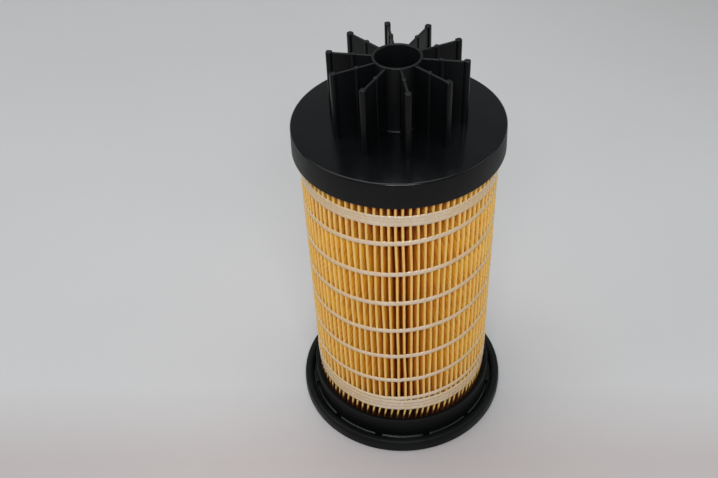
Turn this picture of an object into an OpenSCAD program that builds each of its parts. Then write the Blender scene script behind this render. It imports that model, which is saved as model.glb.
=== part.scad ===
// Fuel filter insert: a pleated paper element between two moulded end caps, with a finned
// spacer on top and a sealing ring round the base. Millimetres, +Z up, origin at the centre
// of the base underside.

/* [Overall] */
// Height from the base underside to the top of the spacer hub
overall_h = 182.4; // [175:0.1:195]
// Diameter of the top end cap
cap_d = 86; // [86:0.5:90]

/* [Spacer star] */
// Outside diameter of the hub sleeve
hub_d = 19.6; // [18:0.1:22]
// Diameter of the blind bore in the hub
hub_bore_d = 17; // [14:0.1:17]
// Height of the hub and fins above the top cap
star_h = 27.7; // [20:0.1:28]
// Number of radial fins
fin_count = 10; // [6:1:12]
// Thickness of a fin's web
fin_t = 1.1; // [0.8:0.1:1.6]
// Distance from the axis to the middle of a fin's end bar
fin_reach = 26.3; // [22:0.1:32]
// Distance from the axis to the middle of a fin's mid rib
rib_reach = 16.8; // [14:0.1:20]
// Angle from the front to the first fin
first_fin = 8; // [0:1:35]

/* [Top end cap] */
// Thickness of the disc
disc_t = 2.2; // [1.8:0.1:3]
// Height of the skirt, disc included
skirt_h = 11.2; // [9:0.1:14]
// Wall thickness of the skirt and of the bottom cup
wall_t = 1.6; // [1.2:0.1:1.7]
// Depth of the adhesive that holds the paper in each end cap
potting_t = 2; // [1:0.1:3]

/* [Paper pack] */
// Number of pleats
pleat_count = 88; // [60:1:92]
// Diameter over the pleat tips
media_d = 81.6; // [80:0.1:82]
// Diameter inside the pleat folds
media_bore_d = 44.6; // [44.6:0.1:50]
// Thickness of the paper
paper_t = 0.5; // [0.4:0.05:0.6]
// Width of a pleat across its outer fold
tip_w = 1.3; // [1.1:0.05:1.5]
// Width of a pleat across its inner fold
fold_w = 1.15; // [1.05:0.05:1.2]

/* [Thread windings] */
// Width of one flattened thread
thread_w = 2.4; // [2:0.1:3]
// Thickness of one flattened thread
thread_t = 0.6; // [0.4:0.1:0.8]
// Rise of the spiral thread in one turn
thread_pitch = 16.5; // [14:0.5:20]
// Lower edge of the bottom winding
bottom_wrap_z = 20.4; // [18:0.1:24]
// Lower edge of the top winding
top_wrap_z = 132.9; // [120:0.1:136]
// Height at the front that the spiral's even turns count from
spiral_front_z = 24.9; // [20:0.1:30]
// Height of the spiral thread where it lies against the bottom winding
spiral_rest_z = 28.9; // [28.9:0.1:32]

/* [Core] */
// Outside diameter of the centre tube
core_d = 43.6; // [42:0.1:44]
// Wall thickness of the centre tube
core_t = 1.8; // [1.4:0.1:2.2]
// Number of windows round the centre tube
window_cols = 8; // [6:1:10]
// Number of rows of windows
window_rows = 9; // [6:1:10]

/* [Base] */
// Height of the bottom cup's rim
cup_rim_z = 14.9; // [13:0.1:17]
// Outside diameter of the bottom cup
cup_d = 85.8; // [85.8:0.1:86]
// Number of clip fingers round the base ring
finger_count = 12; // [8:1:14]
// Height of the tops of the clip fingers
finger_top_z = 4; // [3.5:0.1:5]
// Outside diameter of the rim seal
seal_d = 98.4; // [96:0.1:104]
// Height of the top of the rim seal
seal_top_z = 6; // [5.5:0.1:7]
// Bore of the outlet grommet
outlet_d = 27; // [22:0.5:28]

/* [Hidden] */

$fn = 96;
gap = 0.1;

// Levels up the axis
cap_top_z = overall_h - star_h;
disc_z = cap_top_z - disc_t;
skirt_z = cap_top_z - skirt_h;
cup_floor_z = 5;
cup_floor_t = 2;
pot_z = cup_floor_z + cup_floor_t;
media_z = pot_z + potting_t;
media_top_z = disc_z - potting_t;
media_h = media_top_z - media_z;

// Radii
cap_r = cap_d / 2;
cup_r = cup_d / 2;
media_r = media_d / 2;
media_bore_r = media_bore_d / 2;
core_r = core_d / 2;
core_bore_r = core_r - core_t;
potting_r = cap_r - wall_t - gap;

// Spacer star
fin_bar_w = 2.5;
fin_bar_l = 2.6;
fin_rib_w = 2;
fin_rib_l = 1.8;
spigot_r = 8;
spigot_bore_floor_t = 2;

// Top cap: edge rounding, flare of the skirt and the ring that centres the core
edge_r = 1.5;
skirt_flare = 0.3;
locator_t = 1.5;
locator_h = 6;

// Pleats
pleat_step = 360 / pleat_count;
seam_w = 1.3;
seam_depth = 7;

// Windings
thread_seat = 0.08;
thread_r = media_r + thread_seat;
thread_rows_bottom = 3;
thread_rows_top = 2;
spiral_steps = 72;
spiral_start = -100;
spiral_end = (top_wrap_z - 1.4 - spiral_front_z) / thread_pitch * 360;

// Core windows and screen
core_end = 8;
window_bar = 3;
window_gap_deg = 12;
screen_t = 0.3;

// Base
collar_t = 2.4;
collar_z = 1.2;
collar_top_z = 12;
grommet_r = outlet_d / 2 + 2;
grommet_lip = 1.6;
grommet_lip_h = 1.4;
grommet_z = 0.5;
foot_z = 1.6;
rib_count = 12;
rib_t = 1.6;
rib_z = 2.4;
ring_r = cup_r + 0.2;
finger_t = 1.1;
finger_deg = 25.5;
ledge_w = 1.4;
ledge_top_z = 4.4;
ring_floor_z = 1.5;
seal_w = 2.7;
seal_z = 0.3;
seal_lip_w = 1.3;
seal_lip_drop = 0.8;
seal_in_r = seal_d / 2 - seal_w;
ring_out_r = seal_in_r - gap;
key_w = 0.9;
key_z = 2.4;
key_h = 1.2;

// A plain ring or tube between two radii and two heights
module tube(r_in, r_out, z0, z1) {
    translate([0, 0, z0])
        difference() {
            cylinder(r = r_out, h = z1 - z0);
            translate([0, 0, -1])
                cylinder(r = r_in, h = z1 - z0 + 2);
        }
}

// A point at radius r and angle a, measured from the front towards the right
function polar(r, a) = [r * sin(a), -r * cos(a)];

// A block whose middle stands at distance reach from the axis, at angle a from the front
module post(reach, a, w, l, z0, z1) {
    rotate([0, 0, a])
        translate([-w / 2, -reach - l / 2, z0])
            cube([w, l, z1 - z0]);
}

// A wedge of a ring, from angle a0 to angle a0 + span
module ring_sector(r_in, r_out, z0, z1, a0, span) {
    rotate([0, 0, a0 - 90])
        translate([0, 0, z0])
            rotate_extrude(angle = span)
                translate([r_in, 0])
                    square([r_out - r_in, z1 - z0]);
}

// Hub sleeve, ten fins with a mid rib and an end bar, and a closed spigot under the hub
module spacer_star() {
    color("#2a2d2f")
        difference() {
            union() {
                translate([0, 0, cap_top_z])
                    cylinder(d = hub_d, h = star_h);
                translate([0, 0, disc_z])
                    cylinder(r = spigot_r - gap, h = disc_t + 1);
                for (i = [0 : fin_count - 1]) {
                    fin(first_fin + i * 360 / fin_count);
                }
            }
            translate([0, 0, disc_z + spigot_bore_floor_t])
                cylinder(d = hub_bore_d - 3, h = overall_h);
            translate([0, 0, cap_top_z + 1])
                cylinder(d = hub_bore_d, h = overall_h);
        }
}

module fin(a) {
    web_l = fin_reach - hub_bore_d / 2 - 0.5;
    post(fin_reach - web_l / 2, a, fin_t, web_l, cap_top_z, overall_h);
    post(rib_reach, a, fin_rib_w, fin_rib_l, cap_top_z, overall_h);
    post(fin_reach, a, fin_bar_w, fin_bar_l, cap_top_z, overall_h);
}

// Disc with a rounded edge, a slightly flared skirt and a ring underneath that centres the core
module top_end_cap() {
    color("#2a2d2f")
        union() {
            rotate_extrude() {
                polygon(concat(
                    [[spigot_r, disc_z], [spigot_r, cap_top_z], [cap_r - edge_r, cap_top_z]],
                    [for (a = [75 : -15 : 0]) [cap_r - edge_r + edge_r * cos(a), cap_top_z - edge_r + edge_r * sin(a)]],
                    [[cap_r + skirt_flare, skirt_z], [cap_r + skirt_flare - wall_t, skirt_z],
                     [cap_r - wall_t, disc_z]]
                ));
            }
            tube(core_bore_r - locator_t - 1, core_bore_r - 1, disc_z - locator_h, disc_z + 0.5);
        }
}

// Adhesive disc between the pleat ends and a cap
module potting(z0) {
    tube(core_r + gap, potting_r, z0, z0 + potting_t);
}

module top_potting() {
    color("#b9a77c") potting(media_top_z);
}

module bottom_potting() {
    color("#b9a77c") potting(pot_z);
}

// Half the angle that a width spans at a radius
function half_deg(w, r) = asin(w / 2 / r);

// Outer and inner outlines of the folded paper, one pleat at a time
paper_outside = [
    for (i = [0 : pleat_count - 1])
        let (a = (i + 0.5) * pleat_step, b = a + pleat_step / 2)
        let (t = half_deg(tip_w, media_r), v = half_deg(fold_w - 2 * paper_t, media_bore_r))
        each [
            polar(media_r, a - t),
            polar(media_r, a + t),
            polar(media_bore_r + paper_t, b - v),
            polar(media_bore_r + paper_t, b + v)
        ]
];
paper_inside = [
    for (i = [0 : pleat_count - 1])
        let (a = (i + 0.5) * pleat_step, b = a + pleat_step / 2)
        let (t = half_deg(tip_w - 2 * paper_t, media_r), v = half_deg(fold_w, media_bore_r))
        each [
            polar(media_r - paper_t, a - t),
            polar(media_r - paper_t, a + t),
            polar(media_bore_r, b - v),
            polar(media_bore_r, b + v)
        ]
];

// One long strip of paper folded into pleats, closed into a ring
module pleated_media() {
    color("#d99a3c")
        translate([0, 0, media_z])
            linear_extrude(height = media_h)
                difference() {
                    polygon(paper_outside);
                    polygon(paper_inside);
                }
}

// Adhesive strip that closes the ring of pleats, in one valley at the back
module seam_strip() {
    color("#c7a460")
        post(media_r - seam_depth / 2 - 0.3, 180, seam_w, seam_depth, media_z + 0.5, media_top_z - 0.5);
}

// Height of the spiral thread: it rests on the bottom winding as far as the front, leaves it over
// the first turn, and then climbs evenly
function spiral_z(a) =
    a > 360
    ? spiral_front_z + thread_pitch * a / 360
    : spiral_rest_z + max(a, 0) / 360 * (spiral_front_z + thread_pitch - spiral_rest_z);

// Thread cross-section: flat side on the pleat tips, rounded outside
function thread_ring(a) =
    let (z = spiral_z(a), h = thread_w / 2)
    [
        for (p = [[0, -h], [thread_t, -h * 0.6], [thread_t, h * 0.6], [0, h]])
            let (xy = polar(thread_r + p[0], a))
            [xy[0], xy[1], z + p[1]]
    ];

// Spiral thread that keeps the pleats evenly spaced between the two windings
module spiral_roving() {
    n = ceil((spiral_end - spiral_start) / 360 * spiral_steps);
    rings = [for (i = [0 : n]) thread_ring(spiral_start + (spiral_end - spiral_start) * i / n)];
    color("#e6d3b4")
        polyhedron(
            points = [for (r = rings) each r],
            faces = concat(
                [[0, 1, 2, 3]],
                [for (i = [0 : n - 1], k = [0 : 3])
                    let (j = (k + 1) % 4) [4 * i + j, 4 * i + k, 4 * i + 4 + k]],
                [for (i = [0 : n - 1], k = [0 : 3])
                    let (j = (k + 1) % 4) [4 * i + j, 4 * i + 4 + k, 4 * i + 4 + j]],
                [[4 * n + 3, 4 * n + 2, 4 * n + 1, 4 * n]]
            )
        );
}

// Threads laid side by side, each with bevelled edges
module winding(z0, rows) {
    for (i = [0 : rows - 1]) {
        translate([0, 0, z0 + i * thread_w])
            rotate_extrude()
                polygon([
                    [thread_r, 0],
                    [thread_r + thread_t, 0.3],
                    [thread_r + thread_t, thread_w - 0.3],
                    [thread_r, thread_w]
                ]);
    }
}

module top_wrap() {
    color("#e6d3b4") winding(top_wrap_z, thread_rows_top);
}

module bottom_wrap() {
    color("#e6d3b4") winding(bottom_wrap_z, thread_rows_bottom);
}

// Windowed tube that holds the pleats apart from the inside
module centre_tube() {
    tube_z0 = pot_z + gap;
    tube_z1 = disc_z - gap;
    row_h = (tube_z1 - tube_z0 - 2 * core_end + window_bar) / window_rows;
    col_deg = 360 / window_cols;
    color("#6d6f70")
        difference() {
            tube(core_bore_r, core_r, tube_z0, tube_z1);
            for (i = [0 : window_rows - 1], k = [0 : window_cols - 1]) {
                ring_sector(core_bore_r - 0.5, core_r + 0.5, tube_z0 + core_end + i * row_h,
                    tube_z0 + core_end + (i + 1) * row_h - window_bar,
                    k * col_deg + window_gap_deg / 2, col_deg - window_gap_deg);
            }
        }
}

// Fine gauze sleeve that lines the centre tube
module separator_screen() {
    screen_r = core_bore_r - gap;
    color("#c9cdd0")
        tube(screen_r - screen_t, screen_r, pot_z + 0.4, disc_z - 0.4);
}

// Cup that holds the foot of the paper, with a collar for the outlet grommet and ribs underneath
module bottom_end_cap() {
    collar_r = grommet_r + 0.05;
    color("#26292b")
        union() {
            tube(collar_r + 1, cup_r, cup_floor_z, cup_floor_z + cup_floor_t);
            tube(cup_r - wall_t, cup_r, foot_z, cup_rim_z);
            tube(collar_r, collar_r + collar_t, collar_z + grommet_lip_h, collar_top_z);
            for (i = [0 : rib_count - 1]) {
                ring_rib(i * 360 / rib_count, collar_r + collar_t - 0.5, cup_r - wall_t + 0.5);
            }
        }
}

module ring_rib(a, r0, r1) {
    post((r0 + r1) / 2, a, rib_t, r1 - r0, rib_z, cup_floor_z + 0.5);
}

// Rubber grommet in the outlet collar, with a lip under the collar and one over it
module outlet_grommet() {
    color("#1c1d1e")
        difference() {
            union() {
                translate([0, 0, grommet_z])
                    cylinder(r = grommet_r, h = collar_top_z + grommet_lip_h + gap - grommet_z);
                translate([0, 0, collar_top_z + gap])
                    cylinder(r = grommet_r + grommet_lip, h = grommet_lip_h);
                translate([0, 0, grommet_z])
                    cylinder(r = grommet_r + grommet_lip, h = collar_z + grommet_lip_h - gap - grommet_z);
            }
            translate([0, 0, -1])
                cylinder(d = outlet_d, h = collar_top_z + 10);
        }
}

// Ring round the foot of the cup: flat underside, curved clip fingers, a ledge, and a key that
// holds the rim seal
module base_ring() {
    finger_r = ring_r + finger_t;
    ledge_r = ring_out_r - ledge_w;
    finger_step = 360 / finger_count;
    color("#26292b")
        difference() {
            rotate_extrude()
                polygon([
                    [ring_r, 0],
                    [ring_out_r, 0],
                    [ring_out_r, key_z],
                    [ring_out_r + key_w, key_z],
                    [ring_out_r + key_w, key_z + key_h],
                    [ring_out_r, key_z + key_h],
                    [ring_out_r, ledge_top_z],
                    [ledge_r, ledge_top_z],
                    [ledge_r, ring_floor_z],
                    [finger_r, ring_floor_z],
                    [finger_r, finger_top_z],
                    [ring_r, finger_top_z]
                ]);
            for (i = [0 : finger_count - 1]) {
                ring_sector(ring_r - 1, finger_r + 0.2, ring_floor_z + 0.2, finger_top_z + 1,
                    i * finger_step + finger_deg / 2, finger_step - finger_deg);
            }
        }
}

// Rubber ring with a rounded top outer edge, a lip over the ledge and a groove inside for the key
module rim_seal() {
    seal_r = seal_d / 2;
    lip_r = seal_in_r - seal_lip_w;
    round_r = 1.7;
    foot_r = 0.4;
    color("#1d1f20")
        rotate_extrude()
            polygon(concat(
                [[seal_in_r, seal_z]],
                [for (a = [-90 : 15 : 0]) [seal_r - foot_r + foot_r * cos(a), seal_z + foot_r + foot_r * sin(a)]],
                [for (a = [0 : 15 : 90]) [seal_r - round_r + round_r * cos(a), seal_top_z - round_r + round_r * sin(a)]],
                [[lip_r, seal_top_z - seal_lip_drop], [lip_r, ledge_top_z + gap],
                 [seal_in_r, ledge_top_z + gap], [seal_in_r, key_z + key_h + gap],
                 [seal_in_r + key_w, key_z + key_h + gap], [seal_in_r + key_w, key_z - gap],
                 [seal_in_r, key_z - gap]]
            ));
}

spacer_star();
top_end_cap();
top_potting();
pleated_media();
seam_strip();
spiral_roving();
top_wrap();
bottom_wrap();
centre_tube();
separator_screen();
bottom_potting();
bottom_end_cap();
outlet_grommet();
base_ring();
rim_seal();
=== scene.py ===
"""Fuel filter insert: a pleated paper element between two moulded caps, with a finned spacer on
top and a sealing ring round the base. Shapes are in millimetres, and MM turns them into the
frame's metres. Material nodes, lamps and the board are in metres. Angles round the axis are
measured from the front, -Y, towards the right, +X."""

import math

import bmesh
import bpy
import numpy as np
from mathutils import Matrix, Vector, noise


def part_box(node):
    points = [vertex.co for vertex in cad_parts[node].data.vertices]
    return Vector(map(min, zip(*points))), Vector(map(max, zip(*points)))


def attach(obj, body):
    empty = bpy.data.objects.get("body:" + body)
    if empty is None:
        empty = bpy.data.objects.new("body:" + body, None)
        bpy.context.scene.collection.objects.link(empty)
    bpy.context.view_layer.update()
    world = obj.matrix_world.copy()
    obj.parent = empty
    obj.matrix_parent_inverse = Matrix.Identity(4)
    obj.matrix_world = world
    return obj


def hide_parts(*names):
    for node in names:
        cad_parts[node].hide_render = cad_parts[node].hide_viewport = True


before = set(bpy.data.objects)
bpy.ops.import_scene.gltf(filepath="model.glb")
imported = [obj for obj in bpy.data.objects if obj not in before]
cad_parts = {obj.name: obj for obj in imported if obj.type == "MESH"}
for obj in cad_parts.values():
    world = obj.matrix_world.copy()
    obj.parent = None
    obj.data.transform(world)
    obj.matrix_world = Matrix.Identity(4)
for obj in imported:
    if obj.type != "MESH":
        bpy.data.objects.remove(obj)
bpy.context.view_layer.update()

MM = 0.001
TURN = 2 * math.pi


def cad(node):
    """A CAD node's lowest and highest corners, in millimetres."""
    low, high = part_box(node)
    return low / MM, high / MM


# ---------------------------------------------------------------- sizes, from the frame
STAR_TOP = cad("spacer_star")[1].z
STAR_FOOT = cad("spacer_star")[0].z
CAP_LOW, CAP_HIGH = cad("top_end_cap")
CAP_TOP = CAP_HIGH.z
SKIRT_Z = CAP_LOW.z
SKIRT_R = CAP_HIGH.y
MEDIA_R = cad("pleated_media")[1].y
MEDIA_Z0 = cad("pleated_media")[0].z
MEDIA_Z1 = cad("pleated_media")[1].z
CUP_R = cad("bottom_end_cap")[1].y
CUP_TOP = cad("bottom_end_cap")[1].z
CUP_FOOT = cad("bottom_end_cap")[0].z
SEAL_R = cad("rim_seal")[1].y
SEAL_Z0 = cad("rim_seal")[0].z
SEAL_Z1 = cad("rim_seal")[1].z
RING_TOP = cad("base_ring")[1].z
CORE_R = cad("centre_tube")[1].y
CORE_Z0 = cad("centre_tube")[0].z
CORE_Z1 = cad("centre_tube")[1].z
SCREEN_R = cad("separator_screen")[1].y
GROMMET_Z0 = cad("outlet_grommet")[0].z
GROMMET_Z1 = cad("outlet_grommet")[1].z
TOP_WRAP = (cad("top_wrap")[0].z, cad("top_wrap")[1].z)
BOTTOM_WRAP = (cad("bottom_wrap")[0].z, cad("bottom_wrap")[1].z)

# Sizes the boxes can't give, as in the CAD model
WALL = 1.6
DISC = 2.2
HUB_R = 9.8
BORE_R = 8.5
SPIGOT_R = 7.9
FIN_COUNT = 10
FIRST_FIN = math.radians(8)
FIN_REACH = 26.3
RIB_REACH = 16.8
PLEATS = 88
PLEAT_STEP = TURN / PLEATS
FOLD_R = 22.3
PAPER = 0.42
THREAD_PITCH = 16.5
THREAD_FRONT_Z = 24.9
THREAD_WIDTH = 2.35
THREAD_THICK = 0.36
CORE_WALL = 1.8
LOCATOR_WALL = 1.5
LOCATOR_DEPTH = 6.0
CUP_FLOOR = (5.0, 7.0)
COLLAR_WALL = 2.4
COLLAR_FOOT = 2.6
COLLAR_TOP = 12.0
OUTLET_R = 13.5
GROMMET_WALL = 2.0
GROMMET_LIP = 1.6
FINGERS = 12
KEY_LOW = 2.4
KEY_HIGH = 3.6
KEY_REACH = 0.9
SEAL_WIDTH = 2.7
SEAL_LIP = 1.3


# ---------------------------------------------------------------- building blocks
def make(name, verts, faces, material, slot, node=None, sharp_deg=32.0):
    """A mesh piece from points in millimetres. It rides on the one body and may stand for a node."""
    mesh = bpy.data.meshes.new(name)
    mesh.from_pydata([tuple(v) for v in np.asarray(verts, float) * MM], [], faces)
    mesh.validate()
    return finish_piece(mesh, name, material, node, sharp_deg)


def finish_piece(mesh, name, material, node, sharp_deg=32.0):
    """Puts the mesh in the scene with smooth faces, outward normals and its material."""
    work = bmesh.new()
    work.from_mesh(mesh)
    bmesh.ops.recalc_face_normals(work, faces=work.faces)
    work.to_mesh(mesh)
    work.free()
    mesh.shade_smooth()
    mesh.set_sharp_from_angle(angle=math.radians(sharp_deg))
    mesh.materials.clear()
    mesh.materials.append(material)
    piece = bpy.data.objects.new(name, mesh)
    bpy.context.scene.collection.objects.link(piece)
    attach(piece, "root")
    if node:
        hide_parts(node)
    return piece


def fillet(corners, segments=5):
    """A closed outline from (x, y, radius) corners, with each corner rounded to its radius."""
    points = []
    count = len(corners)
    for i in range(count):
        here = Vector(corners[i][:2])
        radius = corners[i][2] if len(corners[i]) > 2 else 0.0
        back = Vector(corners[i - 1][:2]) - here
        ahead = Vector(corners[(i + 1) % count][:2]) - here
        half = back.angle(ahead) / 2
        if radius <= 0 or half > math.radians(88):
            points.append(tuple(here))
            continue
        cut = min(radius / math.tan(half), 0.49 * back.length, 0.49 * ahead.length)
        radius = cut * math.tan(half)
        back.normalize()
        ahead.normalize()
        centre = here + (back + ahead).normalized() * (radius / math.sin(half))
        start = here + back * cut - centre
        end = here + ahead * cut - centre
        sweep = start.angle_signed(end)
        for k in range(segments + 1):
            turned = start.copy()
            turned.rotate(Matrix.Rotation(-sweep * k / segments, 2))
            points.append(tuple(centre + turned))
    return points


def lathe(profile, steps=224):
    """Points and faces of a closed (radius, height) outline turned about the axis."""
    n = len(profile)
    verts = []
    for s in range(steps):
        a = TURN * s / steps
        verts += [(r * math.sin(a), -r * math.cos(a), z) for r, z in profile]
    faces = []
    for s in range(steps):
        t = (s + 1) % steps
        for k in range(n):
            j = (k + 1) % n
            faces.append((s * n + k, t * n + k, t * n + j, s * n + j))
    return verts, faces


def cup_lathe(profile, steps=160):
    """As lathe, for an open outline whose first and last points lie on the axis."""
    inner = profile[1:-1]
    n = len(inner)
    verts = [(0, 0, profile[0][1]), (0, 0, profile[-1][1])]
    for s in range(steps):
        a = TURN * s / steps
        verts += [(r * math.sin(a), -r * math.cos(a), z) for r, z in inner]
    faces = []
    for s in range(steps):
        here, there = 2 + s * n, 2 + ((s + 1) % steps) * n
        faces.append((0, there, here))
        faces.append((1, here + n - 1, there + n - 1))
        faces += [(here + k, there + k, there + k + 1, here + k + 1) for k in range(n - 1)]
    return verts, faces


def loft(rings):
    """Points and faces through rings of equal length, closed with a face at each end."""
    n = len(rings[0])
    verts = [p for ring in rings for p in ring]
    faces = [tuple(range(n)), tuple(range(n * (len(rings) - 1), n * len(rings)))]
    for s in range(len(rings) - 1):
        for k in range(n):
            j = (k + 1) % n
            faces.append((s * n + k, s * n + j, (s + 1) * n + j, (s + 1) * n + k))
    return verts, faces


def block_outline(w, l, r, segments=4):
    """A w by l rectangle with rounded corners, centred on the origin."""
    x, y = w / 2, l / 2
    return fillet([(-x, -y, r), (x, -y, r), (x, y, r), (-x, y, r)], segments)


def post(reach, angle, w, l, r, z0, z1, draft=0.0, top_round=0.3, steps=4):
    """An upright block with rounded corners and top, its middle at distance reach from the axis.
    It widens by draft towards its foot."""
    levels = [(z0, -draft), (z1 - top_round, 0.0)]
    for k in range(1, steps + 1):
        bend = math.pi / 2 * k / steps
        levels.append((z1 - top_round + top_round * math.sin(bend), top_round * (1 - math.cos(bend))))
    rings = []
    for z, inset in levels:
        ring = []
        for x, y in block_outline(w - 2 * inset, l - 2 * inset, max(r - inset, 0.04)):
            out = reach - y
            ring.append((
                x * math.cos(angle) + out * math.sin(angle),
                x * math.sin(angle) - out * math.cos(angle),
                z,
            ))
        rings.append(ring)
    return loft(rings)


def arc_block(r0, r1, middle, half, z0, z1, round_r=0.3, steps=3, along=16):
    """A curved upright block between two radii, half an angle each side of middle."""
    levels = [(z0, 0.0), (z1 - round_r, 0.0)]
    for k in range(1, steps + 1):
        bend = math.pi / 2 * k / steps
        levels.append((z1 - round_r + round_r * math.sin(bend), round_r * (1 - math.cos(bend))))
    rings = []
    for z, inset in levels:
        a, b = r0 + inset, r1 - inset
        mid, thick = (a + b) / 2, (b - a) / 2
        reach = half - (inset + thick) / mid
        ring = [(b, middle - reach + 2 * reach * k / along) for k in range(along + 1)]
        ring += [(mid + thick * math.cos(t), middle + reach + thick * math.sin(t) / mid)
                 for t in (math.pi * k / 6 for k in range(1, 6))]
        ring += [(a, middle + reach - 2 * reach * k / along) for k in range(along + 1)]
        ring += [(mid - thick * math.cos(t), middle - reach - thick * math.sin(t) / mid)
                 for t in (math.pi * k / 6 for k in range(1, 6))]
        rings.append([(r * math.sin(t), -r * math.cos(t), z) for r, t in ring])
    return loft(rings)


def temporary(shape):
    """A shape as a loose object for a boolean."""
    verts, faces = shape
    mesh = bpy.data.meshes.new("temporary")
    mesh.from_pydata([tuple(v) for v in np.asarray(verts, float) * MM], [], faces)
    work = bmesh.new()
    work.from_mesh(mesh)
    bmesh.ops.recalc_face_normals(work, faces=work.faces)
    work.to_mesh(mesh)
    work.free()
    thing = bpy.data.objects.new("temporary", mesh)
    bpy.context.scene.collection.objects.link(thing)
    return thing


def combine(base, others):
    """One mesh from a shape and the shapes joined to it."""
    body = temporary(base)
    tools = [temporary(shape) for shape in others]
    for tool in tools:
        step = body.modifiers.new("step", "BOOLEAN")
        step.operation = "UNION"
        step.solver = "MANIFOLD"
        step.object = tool
    bpy.context.view_layer.update()
    graph = bpy.context.evaluated_depsgraph_get()
    mesh = bpy.data.meshes.new_from_object(body.evaluated_get(graph))
    for thing in [body] + tools:
        old = thing.data
        bpy.data.objects.remove(thing)
        bpy.data.meshes.remove(old)
    return mesh


def wobble(*where):
    """Smooth noise from -1 to 1 that is the same in every run."""
    return noise.noise(Vector(where))


# ---------------------------------------------------------------- materials
class Surface:
    """A Principled material with short calls for the nodes that drive it."""

    def __init__(self, name):
        self.material = bpy.data.materials.new(name)
        self.material.use_nodes = True
        self.tree = self.material.node_tree
        self.shader = self.tree.nodes["Principled BSDF"]
        self.place = self.add("ShaderNodeTexCoord").outputs["Object"]

    def add(self, kind, **settings):
        """A new node with its settings."""
        node = self.tree.nodes.new(kind)
        for key, value in settings.items():
            setattr(node, key, value)
        return node

    def link(self, source, target):
        self.tree.links.new(source, target)

    def set(self, **values):
        """Constants on the shader's own sockets, named with _ for a space."""
        for key, value in values.items():
            self.shader.inputs[key.replace("_", " ")].default_value = value

    def stretch(self, scale):
        """The object's coordinates, scaled along each axis."""
        node = self.add("ShaderNodeMapping")
        node.inputs["Scale"].default_value = scale
        self.link(self.place, node.inputs["Vector"])
        return node.outputs["Vector"]

    def noise(self, scale, detail=4.0, rough=0.55, where=None):
        """Noise from 0 to 1. scale is in features per metre."""
        node = self.add("ShaderNodeTexNoise")
        node.inputs["Scale"].default_value = scale
        node.inputs["Detail"].default_value = detail
        node.inputs["Roughness"].default_value = rough
        self.link(where or self.place, node.inputs["Vector"])
        return node.outputs["Fac"]

    def spread(self, source, low, high, to_low=0.0, to_high=1.0):
        """A value's range from low to high, carried to another range."""
        node = self.add("ShaderNodeMapRange")
        node.inputs["From Min"].default_value = low
        node.inputs["From Max"].default_value = high
        node.inputs["To Min"].default_value = to_low
        node.inputs["To Max"].default_value = to_high
        self.link(source, node.inputs["Value"])
        return node.outputs["Result"]

    def math(self, operation, first, second=0.0):
        """A sum on two values, each given as a number or as an output."""
        node = self.add("ShaderNodeMath", operation=operation)
        for socket, value in zip(node.inputs, (first, second)):
            if isinstance(value, (int, float)):
                socket.default_value = value
            else:
                self.link(value, socket)
        return node.outputs[0]

    def mix(self, factor, first, second):
        """A colour between two colours, each given as numbers or as an output."""
        node = self.add("ShaderNodeMix", data_type="RGBA")
        if isinstance(factor, (int, float)):
            node.inputs["Factor"].default_value = factor
        else:
            self.link(factor, node.inputs["Factor"])
        for socket, value in ((node.inputs[6], first), (node.inputs[7], second)):
            if isinstance(value, tuple):
                socket.default_value = (*value, 1.0)
            else:
                self.link(value, socket)
        return node.outputs[2]

    def colour(self, source):
        self.link(source, self.shader.inputs["Base Color"])

    def roughness(self, source):
        self.link(source, self.shader.inputs["Roughness"])

    def bump(self, *layers):
        """Relief from (height output, depth in metres) layers."""
        normal = None
        for height, depth in layers:
            node = self.add("ShaderNodeBump")
            node.inputs["Distance"].default_value = depth
            node.inputs["Strength"].default_value = 1.0
            self.link(height, node.inputs["Height"])
            if normal:
                self.link(normal, node.inputs["Normal"])
            normal = node.outputs["Normal"]
        self.link(normal, self.shader.inputs["Normal"])

    def axis_distance(self):
        """Distance from the object's axis, in metres."""
        split = self.add("ShaderNodeSeparateXYZ")
        self.link(self.place, split.inputs[0])
        flat = self.add("ShaderNodeCombineXYZ")
        self.link(split.outputs["X"], flat.inputs["X"])
        self.link(split.outputs["Y"], flat.inputs["Y"])
        length = self.add("ShaderNodeVectorMath", operation="LENGTH")
        self.link(flat.outputs[0], length.inputs[0])
        return length.outputs["Value"], split.outputs["Z"]

    def sideways(self):
        """The object's X, in metres."""
        split = self.add("ShaderNodeSeparateXYZ")
        self.link(self.place, split.inputs[0])
        return split.outputs["X"]

    def vector(self, *parts):
        """A vector from up to three outputs."""
        node = self.add("ShaderNodeCombineXYZ")
        for socket, part in zip(node.inputs, parts):
            self.link(part, socket)
        return node.outputs[0]

    def attribute(self, name):
        """A number stored on the mesh's points."""
        return self.add("ShaderNodeAttribute", attribute_name=name).outputs["Fac"]


def moulded_black(name, rough, shine, dark, pale, smooth=None):
    """Moulded black nylon: faint flow mottling, handling smudges and a fine tool grain. smooth,
    ("height" or "reach", start, end, change), changes the roughness past a height or a distance
    from the axis."""
    s = Surface(name)
    mottle = s.noise(38.0, 5.0)
    fine = s.noise(900.0, 2.0)
    both = s.math("ADD", mottle, s.math("MULTIPLY", fine, 0.25))
    s.colour(s.mix(s.spread(both, 0.4, 0.9), dark, pale))
    texture = s.spread(s.noise(60.0, 3.0, 0.65), 0.3, 0.72, *rough)
    if smooth:
        where, start, end, change = smooth
        reach, height = s.axis_distance()
        past = s.spread(height if where == "height" else reach, start * MM, end * MM, 0.0, change)
        texture = s.math("ADD", texture, past)
    s.roughness(texture)
    s.set(IOR=1.45, Specular_IOR_Level=shine)
    s.bump((s.noise(2600.0, 2.0), 0.000012), (s.noise(160.0, 2.0), 0.000024))
    return s.material


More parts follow.
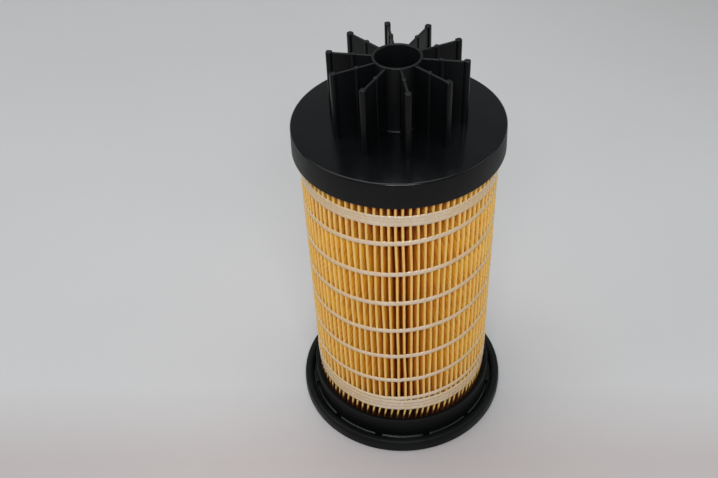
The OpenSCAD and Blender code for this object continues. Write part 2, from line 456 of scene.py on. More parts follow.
def rubber(name):
    """Moulded rubber with a dull bloom and tiny pits."""
    s = Surface(name)
    bloom = s.spread(s.noise(75.0, 5.0, 0.6), 0.35, 0.8)
    s.colour(s.mix(bloom, (0.0044, 0.0054, 0.0047), (0.009, 0.0108, 0.0095)))
    s.roughness(s.spread(s.noise(140.0, 4.0), 0.3, 0.7, 0.34, 0.46))
    s.set(IOR=1.45, Specular_IOR_Level=0.115)
    s.bump((s.noise(3500.0, 3.0), 0.00002), (s.noise(220.0, 2.0), 0.00005))
    return s.material


def filter_paper(name):
    """Resin-soaked amber paper with slanting wrinkles, its colour partly painted light and shade:
    the paper's own amber is paler at the fold tips as painted light and deeper and redder towards
    the valleys as painted shade and glow, the wrinkle lines carry painted crease shade, the legs
    next to the two wide windings are painted redder as shade, the legs below the bottom winding
    are painted near black as valley shade, and the tips darken to dark brown just above the cup."""
    s = Surface(name)
    reach, height = s.axis_distance()
    # Painted light and shade: the paper's own amber is made paler at the fold tips and deeper towards the
    # valleys.
    tip = s.spread(reach, (MEDIA_R - 1.3) * MM, (MEDIA_R - 0.45) * MM)
    deep = s.spread(reach, (MEDIA_R - 9.0) * MM, (MEDIA_R - 1.2) * MM)
    blotch = s.noise(120.0, 5.0, 0.6)
    fibre = s.noise(1500.0, 6.0, 0.7, s.stretch((1.0, 1.0, 0.35)))
    slant = s.math("ADD", height, s.math("MULTIPLY", reach, 0.9))
    along = s.math("MULTIPLY", s.math("SUBTRACT", height, reach), 0.12)
    drift = s.math("MULTIPLY", s.noise(60.0, 1.0), 0.008)
    wrinkle = s.noise(560.0, 2.5, 0.5, s.vector(slant, along, drift))
    ragged = s.math("ADD", height, s.spread(s.noise(330.0, 3.0), 0.3, 0.7, -2.0 * MM, 2.0 * MM))
    climb = s.math("MULTIPLY", s.sideways(), -0.25 * THREAD_PITCH / MEDIA_R)
    top, bottom, rim = TOP_WRAP[0], BOTTOM_WRAP[1], BOTTOM_WRAP[0]
    # Painted shade: near the two wide windings the legs turn redder and darker, most deep in the valleys.
    upper = s.spread(s.math("ADD", ragged, climb), (top - 9.5) * MM, (top - 8.0) * MM)
    lower = s.spread(ragged, (bottom + 14.0) * MM, (bottom + 8.0) * MM, 0.0, 0.7)
    # Painted shade: below the bottom winding the legs, and the fibre flecks with them, go near black. The
    # tips darken to dark brown just above the cup.
    foot = s.spread(height, (rim + 1.0) * MM, (rim - 1.0) * MM)
    end = s.spread(height, (CUP_TOP + 2.6) * MM, (CUP_TOP + 0.2) * MM)
    legs = s.mix(s.spread(blotch, 0.3, 0.72), (0.90, 0.49, 0.019), (0.96, 0.605, 0.035))
    # Painted crease shade: the wrinkle lines are darkened in colour as well as raised by the bump.
    legs = s.mix(s.spread(wrinkle, 0.45, 0.6, 0.0, 0.8), legs, (0.64, 0.22, 0.006))
    # Deeper, redder amber for the valleys: painted shade and glow.
    inside = s.mix(s.spread(blotch, 0.3, 0.7), (0.92, 0.30, 0.008), (0.97, 0.38, 0.014))
    deep_red = s.mix(s.spread(blotch, 0.35, 0.65), (0.86, 0.14, 0.003), (1.0, 0.27, 0.006))
    red = s.mix(s.spread(blotch, 0.35, 0.65), (0.42, 0.11, 0.006), (0.64, 0.25, 0.014))
    red = s.mix(deep, deep_red, red)
    depth = s.spread(reach, (MEDIA_R - 1.5) * MM, (MEDIA_R - 5.0) * MM, 0.55, 1.0)
    painted_shade = s.math("MULTIPLY", s.math("MAXIMUM", upper, lower), depth)
    legs = s.mix(painted_shade, s.mix(deep, inside, legs), red)
    legs = s.mix(foot, legs, (0.085, 0.012, 0.001))
    tips = s.mix(s.spread(blotch, 0.3, 0.7), (1.0, 0.58, 0.145), (1.0, 0.66, 0.21))
    tips = s.mix(end, tips, (0.14, 0.05, 0.01))
    fleck = s.mix(foot, (1.0, 0.72, 0.38), (0.3, 0.2, 0.1))
    s.colour(s.mix(s.spread(fibre, 0.35, 0.75, 0.0, 0.12), s.mix(tip, legs, tips), fleck))
    s.roughness(s.spread(fibre, 0.3, 0.7, 0.55, 0.8))
    s.set(Specular_IOR_Level=0.14, Subsurface_Weight=0.25, Subsurface_Radius=(0.8, 0.5, 0.15),
          Subsurface_Scale=0.0006)
    s.bump((fibre, 0.00005), (wrinkle, 0.0005))
    return s.material


def glued_thread(name):
    """Cream adhesive-soaked thread with fibres along its length. It is painted yellower where a fold
    lies behind it, as painted show-through of the paper, and darker and yellower towards its
    left and right as seen from the front, as painted shade.
    """
    s = Surface(name)
    over = s.attribute("over_fold")
    strand = s.noise(900.0, 4.0, 0.6, s.stretch((0.25, 0.25, 2.2)))
    patch = s.noise(160.0, 3.0)
    # Painted shade: darker and yellower away from the front, towards +X and -X.
    aside = s.math("ABSOLUTE", s.sideways())
    painted_shade = s.spread(aside, 0.2 * MEDIA_R * MM, 0.8 * MEDIA_R * MM)
    plain = s.mix(s.spread(patch, 0.3, 0.7), (0.74, 0.565, 0.42), (0.83, 0.68, 0.53))
    plain = s.mix(painted_shade, plain, (0.68, 0.44, 0.20))
    # Painted show-through: yellower where a fold of the paper lies behind the thread.
    tone = s.mix(s.math("MULTIPLY", over, 0.5), plain, (0.77, 0.56, 0.26))
    s.colour(s.mix(s.spread(strand, 0.4, 0.8, 0.0, 0.35), tone, (0.84, 0.74, 0.58)))
    s.roughness(s.spread(patch, 0.3, 0.7, 0.12, 0.28))
    s.set(Subsurface_Weight=0.25, Subsurface_Radius=(1.0, 0.8, 0.5), Subsurface_Scale=0.0006,
          Coat_Weight=0.5, Coat_Roughness=0.12)
    s.bump((strand, 0.00006), (s.noise(500.0, 2.0), 0.00008))
    return s.material


def set_adhesive(name):
    """Dark brown set adhesive with small bubbles and ripples."""
    s = Surface(name)
    patch = s.noise(180.0, 4.0)
    s.colour(s.mix(s.spread(patch, 0.3, 0.7), (0.02, 0.009, 0.004), (0.05, 0.022, 0.009)))
    s.roughness(s.spread(patch, 0.3, 0.7, 0.3, 0.5))
    s.bump((s.noise(700.0, 3.0), 0.00012))
    return s.material


def core_plastic(name):
    """Dark grey glass-filled plastic with short pale fibres near the surface."""
    s = Surface(name)
    fibre = s.noise(700.0, 3.0, 0.5, s.stretch((1.0, 1.0, 0.2)))
    s.colour(s.mix(s.spread(fibre, 0.5, 0.8), (0.055, 0.057, 0.058), (0.11, 0.112, 0.112)))
    s.roughness(s.spread(s.noise(120.0, 3.0), 0.3, 0.7, 0.45, 0.6))
    s.bump((fibre, 0.00003))
    return s.material


def gauze(name):
    """Pale synthetic gauze fibre with a slight sheen and stains from handling."""
    s = Surface(name)
    patch = s.noise(90.0, 4.0)
    s.colour(s.mix(s.spread(patch, 0.3, 0.7), (0.50, 0.52, 0.53), (0.68, 0.69, 0.69)))
    s.roughness(s.spread(patch, 0.3, 0.7, 0.4, 0.55))
    s.bump((s.noise(2500.0, 2.0), 0.00002))
    return s.material


def floor_paint(name):
    """Pale matt board with a trace of tone change, and painted shade that makes it a little darker and
    warmer near its front and a little darker at its back right.
    """
    s = Surface(name)
    split = s.add("ShaderNodeSeparateXYZ")
    s.link(s.place, split.inputs[0])
    across, back = split.outputs["X"], split.outputs["Y"]
    # Painted shade: darker and warmer towards the front, darker towards the back right.
    front = s.spread(back, -0.01, -0.055, 0.0, 0.95)
    corner = s.math("MULTIPLY", s.spread(across, 0.05, 0.3), s.spread(back, 0.15, 0.4))
    patch = s.noise(2.2, 3.0)
    plain = s.mix(s.spread(patch, 0.3, 0.7), (0.505, 0.509, 0.518), (0.535, 0.539, 0.548))
    plain = s.mix(front, plain, (0.43, 0.395, 0.395))
    s.colour(s.mix(corner, plain, (0.44, 0.44, 0.445)))
    s.roughness(s.spread(s.noise(60.0, 3.0), 0.3, 0.7, 0.55, 0.7))
    s.bump((s.noise(900.0, 3.0), 0.00004))
    return s.material


NYLON = (0.0016, 0.002, 0.0023), (0.0042, 0.0048, 0.0052)
CAP_BLACK = moulded_black("cap_black", (0.44, 0.54), 0.27, *NYLON,
                          ("height", CAP_TOP - 1.0, CAP_TOP - 0.5, -0.32))
STAR_BLACK = moulded_black("star_black", (0.36, 0.48), 0.27, *NYLON,
                           ("reach", FIN_REACH - 1.4, FIN_REACH - 1.2, -0.08))
CUP_BLACK = moulded_black("cup_black", (0.5, 0.62), 0.26, *NYLON)
BASE_BLACK = moulded_black("base_black", (0.24, 0.34), 0.36, *NYLON)
RUBBER = rubber("seal_rubber")
PAPER_AMBER = filter_paper("filter_paper")
THREAD = glued_thread("glued_thread")
ADHESIVE = set_adhesive("set_adhesive")
CORE_GREY = core_plastic("core_plastic")
GAUZE = gauze("separator_gauze")
FLOOR_BOARD = floor_paint("floor_board")


# ---------------------------------------------------------------- top: spacer star and cap
def spacer_star():
    """Hub sleeve with a blind bore, and ten fins with a mid rib and an end bar."""
    top = STAR_TOP
    floor = CAP_TOP + 1.0
    outside = fillet([
        (SPIGOT_R, STAR_FOOT, 0.4), (SPIGOT_R, CAP_TOP + 0.02, 0.0),
        (HUB_R + 0.4, CAP_TOP + 0.02, 0.0), (HUB_R + 0.05, CAP_TOP + 0.4, 0.35),
        (HUB_R, top, 0.35), (BORE_R + 0.1, top, 0.45), (BORE_R - 0.25, floor, 0.6),
        (0.0, floor, 0.0), (0.0, STAR_FOOT, 0.0),
    ])
    start = outside.index((0.0, STAR_FOOT))
    hub = cup_lathe(outside[start:] + outside[:start])
    web_l = FIN_REACH - BORE_R - 0.5
    parts = []
    for i in range(FIN_COUNT):
        a = FIRST_FIN + TURN * i / FIN_COUNT
        parts.append(post(FIN_REACH - web_l / 2, a, 1.05, web_l, 0.1, CAP_TOP, top - 0.35, 0.14, 0.3))
        parts.append(post(RIB_REACH, a, 1.9, 2.0, 0.85, CAP_TOP, top - 0.08, 0.1, 0.35))
        parts.append(post(FIN_REACH, a, 2.4, 2.5, 0.8, CAP_TOP, top, 0.08, 0.36, 5))
    mesh = combine(hub, parts)
    return finish_piece(mesh, "spacer_star_moulding", STAR_BLACK, "spacer_star", 28)


def top_end_cap():
    """Disc with a rolled edge, a skirt that flares a little, and a ring that centres the core."""
    disc_z = CAP_TOP - DISC
    ring_r = CORE_R - CORE_WALL - 1.0
    ring_in = ring_r - LOCATOR_WALL
    profile = fillet([
        (SPIGOT_R + 0.1, disc_z, 0.2), (SPIGOT_R + 0.1, CAP_TOP - 0.1, 0.2),
        (HUB_R + 2.4, CAP_TOP - 0.1, 0.3), (HUB_R + 2.9, CAP_TOP - 0.02, 0.3),
        (SKIRT_R - 0.35, CAP_TOP, 0.9), (SKIRT_R, SKIRT_Z, 0.45),
        (SKIRT_R - WALL, SKIRT_Z, 0.45), (SKIRT_R - WALL - 0.3, disc_z, 0.9),
        (ring_r, disc_z, 0.4), (ring_r, disc_z - LOCATOR_DEPTH, 0.4),
        (ring_in, disc_z - LOCATOR_DEPTH, 0.4), (ring_in, disc_z, 0.4),
    ], 7)
    return make("top_end_cap_moulding", *lathe(profile, 288), CAP_BLACK, "black_plastic", "top_end_cap")


# ---------------------------------------------------------------- paper pack
def spiral_z(angle, turn):
    """Height of the spiral thread's middle at an angle, on a turn counted from 0 at the foot."""
    return THREAD_FRONT_Z + THREAD_PITCH * (turn + angle / TURN)


def pleat_pins(i):
    """Heights at which pleat i is held, with its sideways shift there, in millimetres."""
    a = (i + 0.5) * PLEAT_STEP
    middle = (BOTTOM_WRAP[0] + BOTTOM_WRAP[1]) / 2
    top_middle = (TOP_WRAP[0] + TOP_WRAP[1]) / 2
    heights = [MEDIA_Z0, BOTTOM_WRAP[0] + 1.0, middle]
    turn = 1
    while spiral_z(a, turn) < top_middle - 4:
        if spiral_z(a, turn) > middle + 6:
            heights.append(spiral_z(a, turn))
        turn += 1
    heights += [top_middle, MEDIA_Z1]
    shifts = []
    for k, z in enumerate(heights):
        drift = 0.5 * wobble(i * 0.21, z * 0.021, 3.1) + 0.5 * wobble(i * 0.73, z * 0.04, 8.7)
        if k == 0:
            drift -= 1.9
        if k == len(heights) - 1:
            drift += 0.5
        shifts.append(drift)
    return heights, shifts


PINS = [pleat_pins(i) for i in range(PLEATS)]


def pleat_tip(i, z):
    """Angle and radius of pleat i's outer fold at height z."""
    heights, shifts = PINS[i % PLEATS]
    shift = float(np.interp(z, heights, shifts))
    nearest = min(abs(z - h) for h in heights)
    bulge = 0.2 * min(nearest / 4.0, 1.0)
    reach = MEDIA_R - 0.36 + bulge + 0.12 * wobble(i * 0.9, z * 0.03, 21.0)
    return (i + 0.5) * PLEAT_STEP + shift / MEDIA_R, reach


def pleated_media():
    """One strip of paper folded into pleats and closed into a ring, with both of its faces."""
    fold_half = 0.33
    leg_bow = 0.16
    low = FOLD_R + PAPER / 2
    levels = np.linspace(MEDIA_Z0, MEDIA_Z1, 42)
    sides = (1, -1)
    rings = {side: [] for side in sides}
    for z in levels:
        foot = 1.0 - min(max((z - CUP_TOP) / (BOTTOM_WRAP[0] - CUP_TOP), 0.0), 1.0)
        tip_half = 0.30 - 0.20 * foot
        centre = []
        for i in range(PLEATS):
            a, reach = pleat_tip(i, z)
            b, next_reach = pleat_tip(i + 1, z)
            fold = (i + 1) * PLEAT_STEP + 0.10 / FOLD_R * wobble(i * 1.3, z * 0.02, 5.0)
            bow = leg_bow * wobble(i * 1.7, z * 0.035, 40.0)
            back_bow = leg_bow * wobble(i * 1.7, z * 0.035, 60.0)
            crown = reach - PAPER / 2 - 0.35 * foot
            # tip, from its left shoulder to its right one: (radius, angle, sideways direction)
            for t in (-90, -45, 0, 45, 90):
                turn = math.radians(t)
                drop = tip_half * (1 - math.cos(turn)) * 0.8
                centre.append((crown - drop, a, tip_half * math.sin(turn), math.cos(turn), math.sin(turn)))
            leg = [(crown * (1 - share) + low * share, share) for share in (0.38, 0.75)]
            for r, share in leg:
                angle = a + (fold - a) * share
                side = tip_half + (-fold_half - tip_half) * share + bow
                centre.append((r, angle, side, 0.0, 1.0))
            for t in (-80, 0, 80):
                turn = math.radians(t)
                up, over = math.cos(turn), math.sin(turn)
                centre.append((low + fold_half * (1 - up), fold, fold_half * over, up, -over))
            for r, share in reversed(leg):
                angle = b + (fold - b) * share
                side = -(tip_half + (-fold_half - tip_half) * share) + back_bow
                centre.append((r, angle, side, 0.0, -1.0))
        for side in sides:
            ring = []
            for r, angle, along, out_r, out_t in centre:
                rr = r + side * out_r * PAPER / 2
                tt = along + side * out_t * PAPER / 2
                ring.append((
                    rr * math.sin(angle) + tt * math.cos(angle),
                    -rr * math.cos(angle) + tt * math.sin(angle),
                    z,
                ))
            rings[side].append(ring)
    n = len(rings[1][0])
    verts = [p for side in sides for ring in rings[side] for p in ring]
    inner = n * len(levels)
    faces = []
    for s in range(len(levels) - 1):
        for k in range(n):
            j = (k + 1) % n
            p, q = s * n, (s + 1) * n
            faces.append((p + k, p + j, q + j, q + k))
            faces.append((inner + p + k, inner + q + k, inner + q + j, inner + p + j))
    last = n * (len(levels) - 1)
    for k in range(n):
        j = (k + 1) % n
        faces.append((k, inner + k, inner + j, j))
        faces.append((last + k, last + j, inner + last + j, inner + last + k))
    return make("pleated_paper", verts, faces, PAPER_AMBER, "filter_paper", "pleated_media", 50)


def seam_strip():
    """Bead of adhesive that closes the ring of pleats, in one valley at the back."""
    rings = []
    for z in np.linspace(MEDIA_Z0 + 0.5, MEDIA_Z1 - 0.5, 60):
        a, _ = pleat_tip(PLEATS // 2 - 1, z)
        b, _ = pleat_tip(PLEATS // 2, z)
        middle = (a + b) / 2
        w = 1.45 + 0.12 * wobble(0.0, z * 0.2, 2.0)
        depth = 7.0 + 0.5 * wobble(1.0, z * 0.11, 4.0)
        crown = MEDIA_R - 0.9 + 0.3 * wobble(2.0, z * 0.15, 6.0)
        ring = []
        for x, y in block_outline(w, depth, 0.6):
            out = crown - depth / 2 - y
            ring.append((
                x * math.cos(middle) + out * math.sin(middle),
                x * math.sin(middle) - out * math.cos(middle),
                z,
            ))
        rings.append(ring)
    return make("seam_bead", *loft(rings), ADHESIVE, "potting", "seam_strip", 60)


# ---------------------------------------------------------------- thread windings
def thread_section(angle, z, width, seed):
    """Points across the thread at one place, and how much a fold lies behind it. The thread
    rests on the folds and sinks a little between them."""
    guess = int(math.floor((angle % TURN) / PLEAT_STEP))
    gap, reach = 9.0, MEDIA_R
    for i in (guess - 1, guess, guess + 1):
        a, r = pleat_tip(i, z)
        away = abs((angle - a + math.pi) % TURN - math.pi) * MEDIA_R
        if away < gap:
            gap, reach = away, r
    over = 1.0 - min(max((gap - 0.45) / 0.55, 0.0), 1.0)
    over = over * over * (3 - 2 * over)
    sink = 0.16 * (1.0 - over)
    base = reach - 0.05 - sink
    thick = THREAD_THICK + 0.05 * wobble(angle * 9.0, z * 0.3, seed)
    half = width / 2 * (1.0 + 0.07 * wobble(angle * 14.0, z * 0.2, seed + 5.0))
    lift = 0.12 * wobble(angle * 5.0, z * 0.1, seed + 9.0)
    shape = ((-1.0, 0.08), (-0.86, 0.62), (-0.45, 0.93), (0.0, 1.0), (0.45, 0.93), (0.86, 0.62),
             (1.0, 0.08), (0.6, -0.35), (-0.6, -0.35))
    return [(base + thick * t, z + lift + half * s) for s, t in shape], over


def wind(start, end, height, width, seed, closed=False):
    """A thread along height(angle) from start to end, laid over the folds. Unless it is closed it
    narrows at its ends."""
    steps_per_pleat, narrowing = 6, 14.0
    count = int(abs(end - start) / PLEAT_STEP * steps_per_pleat)
    rings, marks = [], []
    for k in range(count if closed else count + 1):
        angle = start + (end - start) * k / count
        taper = 1.0
        if not closed:
            taper = min(1.0, 0.35 + min(k, count - k) / narrowing)
        section, over = thread_section(angle, height(angle), width * taper, seed)
        rings.append([(r * math.sin(angle), -r * math.cos(angle), z) for r, z in section])
        marks += [over] * len(section)
    if closed:
        n = len(rings[0])
        verts = [p for ring in rings for p in ring]
        faces = []
        for s in range(count):
            t = (s + 1) % count
            faces += [(s * n + k, s * n + (k + 1) % n, t * n + (k + 1) % n, t * n + k) for k in range(n)]
    else:
        verts, faces = loft(rings)
    return verts, faces, marks


def threads(name, windings, node):
    """One piece made of several windings."""
    verts, faces, marks = [], [], []
    for v, f, m in windings:
        faces += [tuple(k + len(verts) for k in face) for face in f]
        verts += v
        marks += m
    piece = make(name, verts, faces, THREAD, "thread", node, 60)
    field = piece.data.attributes.new("over_fold", "FLOAT", "POINT")
    field.data.foreach_set("value", marks)
    return piece


def spiral_height(angle):
    """The spiral thread lies against the bottom winding, leaves it past the front, climbs evenly
    and ends against the top winding."""
    held = BOTTOM_WRAP[1] + 0.85
    first = THREAD_FRONT_Z + 0.5 + THREAD_PITCH
    climb = held + (first - held) * max(angle + 0.25, 0.0) / (TURN + 0.25)
    free = THREAD_FRONT_Z + THREAD_PITCH * angle / TURN
    settle = min(max((angle - TURN) / TURN, 0.0), 1.0)
    height = climb if angle < TURN else free + 0.5 * (1.0 - settle)
    return min(height, TOP_WRAP[0] - 1.0)


def wound_threads():
    """The two wide windings and the spiral between them."""
    last = (TOP_WRAP[0] - THREAD_FRONT_Z) / THREAD_PITCH * TURN + math.radians(25)
    spiral = wind(math.radians(-110), last, spiral_height, THREAD_WIDTH, 1.0)
    threads("spiral_thread", [spiral], "spiral_roving")
    bottom = ((1.1, 2.5), (3.3, 2.8), (5.5, 2.5))
    top = ((1.0, 2.6), (2.9, 2.5), (4.2, 1.5))
    for name, node, foot, rows in (("bottom_winding", "bottom_wrap", BOTTOM_WRAP[0], bottom),
                                   ("top_winding", "top_wrap", TOP_WRAP[0], top)):
        turns = []
        for k, (lift, width) in enumerate(rows):
            level = foot + lift
            turns.append(wind(0.0, TURN, lambda a, level=level: level, width, 20.0 + level, True))
        threads(name, turns, node)


# ---------------------------------------------------------------- core
def potting(name, z0, z1, node):
    """Adhesive disc with a rippled face."""
    verts, steps = [], 260
    profile = [(CORE_R + 0.15, z0), (SKIRT_R - WALL - 0.5, z0), (SKIRT_R - WALL - 0.5, z1 - 0.1),
               (36.0, z1 - 0.25), (30.0, z1 - 0.2), (CORE_R + 0.15, z1 - 0.1)]
    for s in range(steps):
        a = TURN * s / steps
        for k, (r, z) in enumerate(profile):
            ripple = 0.08 * wobble(math.sin(a) * r * 0.4, math.cos(a) * r * 0.4, k) if k in (3, 4) else 0.0
            verts.append((r * math.sin(a), -r * math.cos(a), z + ripple))
    n = len(profile)
    faces = []
    for s in range(steps):
        t = (s + 1) % steps
        faces += [(s * n + k, t * n + k, t * n + (k + 1) % n, s * n + (k + 1) % n) for k in range(n)]
    return make(name, verts, faces, ADHESIVE, "potting", node)


def centre_tube():
    """Windowed tube: collars at the ends, rings and uprights between them."""
    inner = CORE_R - CORE_WALL
    height = CORE_Z1 - CORE_Z0
    rows, columns, collar, bar = 9, 8, 8.0, 3.0
    pitch = (height - 2 * collar + bar) / rows
    spans = [(CORE_Z0, CORE_Z0 + collar), (CORE_Z1 - collar, CORE_Z1)]
    spans += [(CORE_Z0 + collar + pitch * k - bar, CORE_Z0 + collar + pitch * k) for k in range(1, rows)]
    rings = [lathe(fillet([(inner, a, 0.4), (CORE_R, a, 0.4), (CORE_R, b, 0.4), (inner, b, 0.4)], 3), 128)
             for a, b in spans]
    uprights = [arc_block(inner + 0.05, CORE_R - 0.05, TURN * k / columns, math.radians(6),
                          CORE_Z0 + 1, CORE_Z1 - 1, 0.2, 2, 5) for k in range(columns)]
    mesh = combine(rings[0], rings[1:] + uprights)
    return finish_piece(mesh, "core_cage", CORE_GREY, "centre_tube", 30)


def separator_screen():
    """Woven gauze sleeve: upright and round fibres that pass over and under each other."""
    count, rows = 72, 72
    z0, z1 = CORE_Z0 + 0.6, CORE_Z1 - 0.6
    wire, wave = 0.16, 0.09
    middle = SCREEN_R - 0.25
    verts, faces = [], []

    def tube(path, frames, closed):
        base = len(verts)
        for point, (out, side) in zip(path, frames):
            for du, dv in ((1, 0), (0, 1), (-1, 0), (0, -1)):
                verts.append(tuple(p + wire / 2 * (du * o + dv * s) for p, o, s in zip(point, out, side)))
        n = len(path)
        for s in range(n if closed else n - 1):
            here, there = base + s * 4, base + ((s + 1) % n) * 4
            faces.extend((here + k, here + (k + 1) % 4, there + (k + 1) % 4, there + k) for k in range(4))
        if not closed:
            faces.append(tuple(base + k for k in range(4)))
            faces.append(tuple(base + (n - 1) * 4 + k for k in range(4)))

    for c in range(count):
        a = TURN * c / count
        out, side = (math.sin(a), -math.cos(a), 0), (math.cos(a), math.sin(a), 0)
        path = []
        for r in range(rows):
            reach = middle + wave * (1 if (c + r) % 2 else -1)
            path.append((reach * out[0], reach * out[1], z0 + (z1 - z0) * r / (rows - 1)))
        tube(path, [(out, side)] * rows, False)
    for r in range(rows):
        z = z0 + (z1 - z0) * r / (rows - 1)
        path, frames = [], []
        for c in range(count):
            a = TURN * c / count
            reach = middle - wave * (1 if (c + r) % 2 else -1)
            out = (math.sin(a), -math.cos(a), 0)
            path.append((reach * out[0], reach * out[1], z))
            frames.append((out, (0, 0, 1)))
        tube(path, frames, True)
    return make("separator_gauze", verts, faces, GAUZE, "screen", "separator_screen", 60)


# ---------------------------------------------------------------- base
def bottom_end_cap():
    """Cup with a lipped rim, a ribbed underside and a collar for the grommet."""
    collar = OUTLET_R + GROMMET_WALL + 0.05
    collar_out = collar + COLLAR_WALL
    low, high = CUP_FLOOR
    inside = CUP_R - WALL
    profile = fillet([
        (collar, COLLAR_FOOT, 0.3), (collar, COLLAR_TOP, 0.3),
        (collar_out, COLLAR_TOP, 0.4), (collar_out, high, 0.8),
        (inside, high, 0.8), (inside, CUP_TOP - 2.6, 0.3), (MEDIA_R + 0.02, CUP_TOP - 1.2, 0.3),
        (MEDIA_R + 0.02, CUP_TOP - 0.6, 0.2), (CUP_R + 0.05, CUP_TOP, 0.3),
        (CUP_R, CUP_FOOT, 0.4), (inside, CUP_FOOT, 0.4), (inside, low, 0.8),
        (collar_out, low, 0.8), (collar_out, COLLAR_FOOT, 0.4),
    ], 6)
    ribs = []
    reach, length = (collar + inside) / 2 + 1.0, inside - collar - 1.6
    for k in range(FINGERS):
        verts, faces = post(reach, TURN * k / FINGERS, 1.6, length, 0.3, -low - 0.6, -2.4, 0.0, 0.35)
        ribs.append(([(x, y, -z) for x, y, z in verts], faces))
    mesh = combine(lathe(profile, 256), ribs)
    return finish_piece(mesh, "bottom_cup", CUP_BLACK, "bottom_end_cap", 30)


def clip_finger(inner, outer, middle, half):
    """A curved finger whose top slopes outwards, with rounded ends."""
    root, top = 0.8, 4.1
    section = fillet([
        (inner, root, 0.0), (outer, root, 0.0), (outer, top - 0.3, 0.35),
        (inner + 0.25, top, 0.2), (inner, top, 0.12),
    ], 4)
    ends = [(1.0, 0.72), (0.99, 0.87), (0.975, 0.95), (0.95, 0.99)]
    places = [(-t, size) for t, size in ends]
    places += [(-0.9 + 0.1 * k, 1.0) for k in range(19)]
    places += [(t, size) for t, size in reversed(ends)]
    rings = []
    for t, size in places:
        a = middle + half * t
        rings.append([(r * math.sin(a), -r * math.cos(a), root + (z - root) * size) for r, z in section])
    return loft(rings)


def base_ring():
    """Ring with a flat foot that reaches under the cup's wall, a ledge under the seal's lip, a key
    for the seal and curved clip fingers round the cup."""
    inner = CUP_R + 0.2
    foot = CUP_R - WALL
    outer = SEAL_R - SEAL_WIDTH - 0.1
    profile = fillet([
        (foot, 0.0, 0.3), (outer, 0.0, 0.35), (outer, KEY_LOW, 0.1), (outer + KEY_REACH, KEY_LOW, 0.2),
        (outer + KEY_REACH, KEY_HIGH, 0.2), (outer, KEY_HIGH, 0.1),
        (outer, RING_TOP, 0.1), (outer - 1.4, RING_TOP, 0.3),
        (outer - 1.4, 1.5, 0.4), (foot, 1.5, 0.2),
    ], 4)
    fingers = [clip_finger(inner + 0.02, inner + 1.1, TURN * k / FINGERS, math.radians(13.2))
               for k in range(FINGERS)]
    mesh = combine(lathe(profile, 288), fingers)
    return finish_piece(mesh, "base_ring_moulding", BASE_BLACK, "base_ring", 30)


def rim_seal():
    """Rubber ring with a rounded shoulder, a lip over the ring's ledge and a groove for the key."""
    inner = SEAL_R - SEAL_WIDTH
    lip = inner - SEAL_LIP
    ledge = RING_TOP + 0.06
    crest_r = SEAL_R - 1.6
    waist = 2.1
    profile = [(inner, SEAL_Z0), (inner + 0.4, 0.02)]
    for start, end, count in ((-90, 0, 9), (0, 90, 14), (90, 180, 10)):
        for k in range(count):
            bend = math.radians(start + (end - start) * k / count)
            out, up = math.cos(bend), math.sin(bend)
            width = SEAL_R - crest_r if out > 0 else crest_r - lip
            square = 0.15 if up < 0 else (0.76 if out > 0 else 1.0)
            rise = waist - 0.02 if up < 0 else (SEAL_Z1 - waist if out > 0 else SEAL_Z1 - ledge - 0.3)
            base = waist if out > 0 or up < 0 else ledge + 0.3
            profile.append((crest_r + width * math.copysign(abs(out) ** square, out),
                            base + rise * math.copysign(abs(up) ** square, up)))
    groove = inner + KEY_REACH
    profile += [(lip, ledge + 0.3), (lip + 0.05, ledge), (inner, ledge), (inner, KEY_HIGH + 0.1),
                (groove, KEY_HIGH + 0.1), (groove, KEY_LOW - 0.1), (inner, KEY_LOW - 0.1)]
    return make("rim_seal_rubber", *lathe(profile, 288), RUBBER, "rubber", "rim_seal")


def outlet_grommet():
    """Rubber grommet with two lips and a bore with soft ends."""
    waist = OUTLET_R + GROMMET_WALL
    lip = waist + GROMMET_LIP
    low, high = COLLAR_FOOT - 0.1, COLLAR_TOP + 0.1
    profile = fillet([
        (OUTLET_R, GROMMET_Z0, 0.6), (lip, GROMMET_Z0, 0.6), (lip, low, 0.3), (waist, low, 0.1),
        (waist, high, 0.1), (lip, high, 0.3), (lip, GROMMET_Z1, 0.5), (OUTLET_R, GROMMET_Z1, 0.6),
    ], 5)
    return make("outlet_grommet_rubber", *lathe(profile, 160), RUBBER, "rubber", "outlet_grommet")


# ---------------------------------------------------------------- stage
def camera():
    """A camera above the front, turned left a little, pitched down and rolled a little."""
    data = bpy.data.cameras.new("camera")
    data.lens = 42.95
    data.sensor_width = 36.0
    data.clip_start = 0.01
    data.clip_end = 20.0
    cam = bpy.data.objects.new("camera", data)
    turn = Matrix.Rotation(math.radians(3.64), 4, "Z")
    pitch = Matrix.Rotation(math.radians(-41.62), 4, "X")
    roll = Matrix.Rotation(math.radians(3.22), 4, "Y")
    upright = Matrix.Rotation(math.radians(90), 4, "X")
    place = Matrix.Translation((0, -285.0 * MM, 344.6 * MM))
    cam.matrix_world = place @ turn @ pitch @ roll @ upright
    bpy.context.scene.collection.objects.link(cam)
    bpy.context.scene.camera = cam


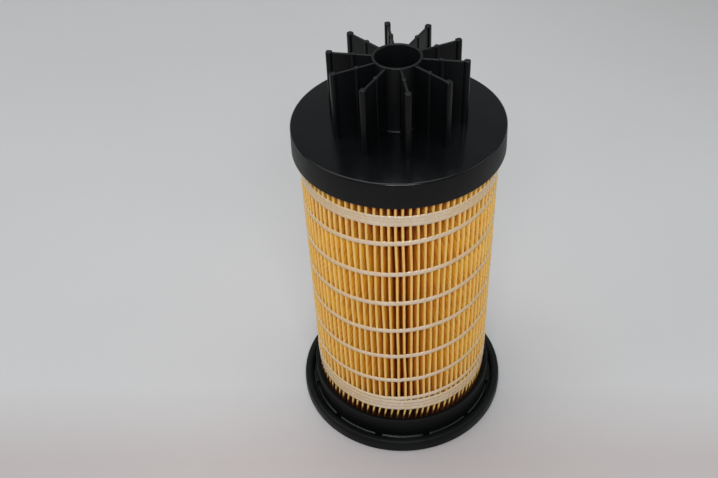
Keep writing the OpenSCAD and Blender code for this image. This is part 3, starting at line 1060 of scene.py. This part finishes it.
def area_light(name, place, aim, size, energy, colour=(1.0, 1.0, 1.0)):
    """A soft rectangular lamp that points at aim."""
    data = bpy.data.lights.new(name, "AREA")
    data.shape = "RECTANGLE"
    data.size, data.size_y = size
    data.energy = energy
    data.color = colour
    lamp = bpy.data.objects.new(name, data)
    lamp.location = place
    lamp.rotation_euler = (Vector(aim) - Vector(place)).to_track_quat("-Z", "Y").to_euler()
    bpy.context.scene.collection.objects.link(lamp)


def stage():
    """A plain pale board, an even sky, soft lamps round the object and a small one at the front."""
    reach = 3
    corners = [(-reach, -reach, 0), (reach, -reach, 0), (reach, reach, 0), (-reach, reach, 0)]
    mesh = bpy.data.meshes.new("floor")
    mesh.from_pydata(corners, [], [(0, 1, 2, 3)])
    mesh.materials.append(FLOOR_BOARD)
    floor = bpy.data.objects.new("floor", mesh)
    bpy.context.scene.collection.objects.link(floor)
    world = bpy.data.worlds.new("sky")
    world.use_nodes = True
    sky = world.node_tree.nodes["Background"]
    sky.inputs["Color"].default_value = (0.96, 0.98, 1.0, 1.0)
    sky.inputs["Strength"].default_value = 0.30
    bpy.context.scene.world = world
    area_light("ceiling", (-0.15, 0.3, 1.5), (0, 0.1, 0.1), (1.1, 1.1), 12.0, (1.0, 0.99, 0.97))
    area_light("left", (-1.1, -0.1, 0.9), (0, 0, 0.08), (0.8, 0.8), 3.3, (1.0, 0.99, 0.97))
    area_light("right", (1.1, 0.0, 0.8), (0, 0, 0.08), (0.8, 0.8), 2.5)
    area_light("front", (0.01, -0.36, 0.46), (0, 0, 0.08), (0.2, 0.05), 1.15, (0.93, 0.96, 1.0))


# ---------------------------------------------------------------- the model
camera()
stage()
spacer_star()
top_end_cap()
pleated_media()
seam_strip()
wound_threads()
potting("top_adhesive", MEDIA_Z1, CAP_TOP - DISC - 0.05, "top_potting")
potting("bottom_adhesive", CUP_FLOOR[1], MEDIA_Z0, "bottom_potting")
centre_tube()
separator_screen()
bottom_end_cap()
outlet_grommet()
base_ring()
rim_seal()

bpy.context.scene.view_settings.view_transform = "Standard"
